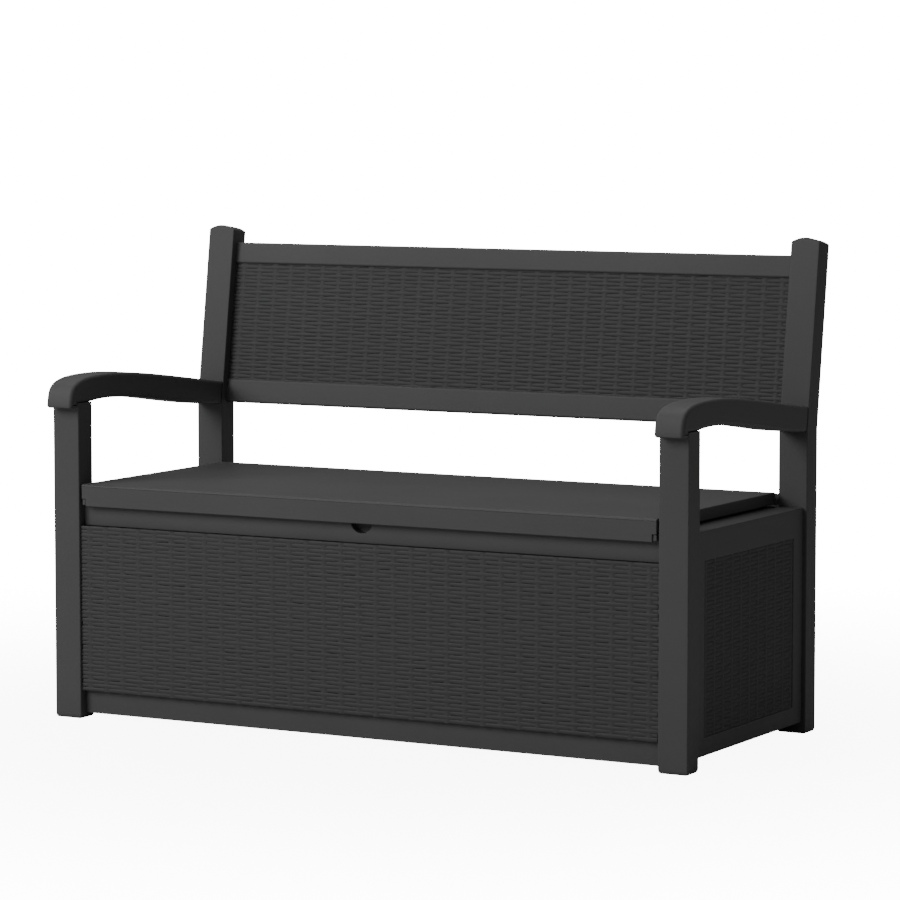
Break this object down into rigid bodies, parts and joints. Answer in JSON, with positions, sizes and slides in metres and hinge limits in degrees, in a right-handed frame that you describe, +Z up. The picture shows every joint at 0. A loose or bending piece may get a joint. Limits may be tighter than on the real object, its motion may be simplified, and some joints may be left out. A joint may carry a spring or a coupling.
{
  "type": "storage bench",
  "caption": "Outdoor resin storage bench: a box seat with woven-look panels, a lid that hinges up at the back, curved armrests and a leaning backrest.",
  "frame": {"origin": "on the floor, at the centre of the bench's outer box", "axes": "+X to the right seen from the front, +Y to the back, +Z up; the front of the bench faces -Y"},
  "size_m": [1.31, 0.6138, 0.904],
  "materials": {
    "resin": "smooth moulded resin with a fine matte grain, anthracite",
    "woven_resin": "resin moulded as a flat rattan weave with plain borders, anthracite",
    "inner_resin": "plain moulded resin, anthracite",
    "steel": "zinc-plated steel"
  },
  "bodies": {
    "bench": {"left_front_post": "resin", "right_front_post": "resin", "left_rear_post": "resin", "right_rear_post": "resin", "front_panel": "woven_resin", "rear_panel": "woven_resin", "left_side_panel": "woven_resin", "right_side_panel": "woven_resin", "floor_panel": "inner_resin", "left_armrest": "resin", "right_armrest": "resin", "backrest_low_rail": "resin", "backrest_top_rail": "resin", "backrest_panel": "woven_resin", "left_hinge_bracket": "inner_resin", "centre_hinge_bracket": "inner_resin", "right_hinge_bracket": "inner_resin", "left_hinge_pin": "steel", "centre_hinge_pin": "steel", "right_hinge_pin": "steel", "arm_screws": "steel", "backrest_screws": "steel", "bracket_screws": "steel"},
    "lid": {"seat_lid": "resin", "lid_inner_panel": "inner_resin", "front_lid_bar": "steel", "rear_lid_bar": "steel", "left_lid_leaf": "inner_resin", "centre_lid_leaf": "inner_resin", "right_lid_leaf": "inner_resin", "leaf_screws": "steel"}
  },
  "joints": [
    {"name": "lid_hinge", "type": "hinge", "parent": "bench", "child": "lid", "pos_m": [0, 0.20305, 0.428], "axis": [-1, 0, 0], "range_deg": [0, 95]}
  ]
}
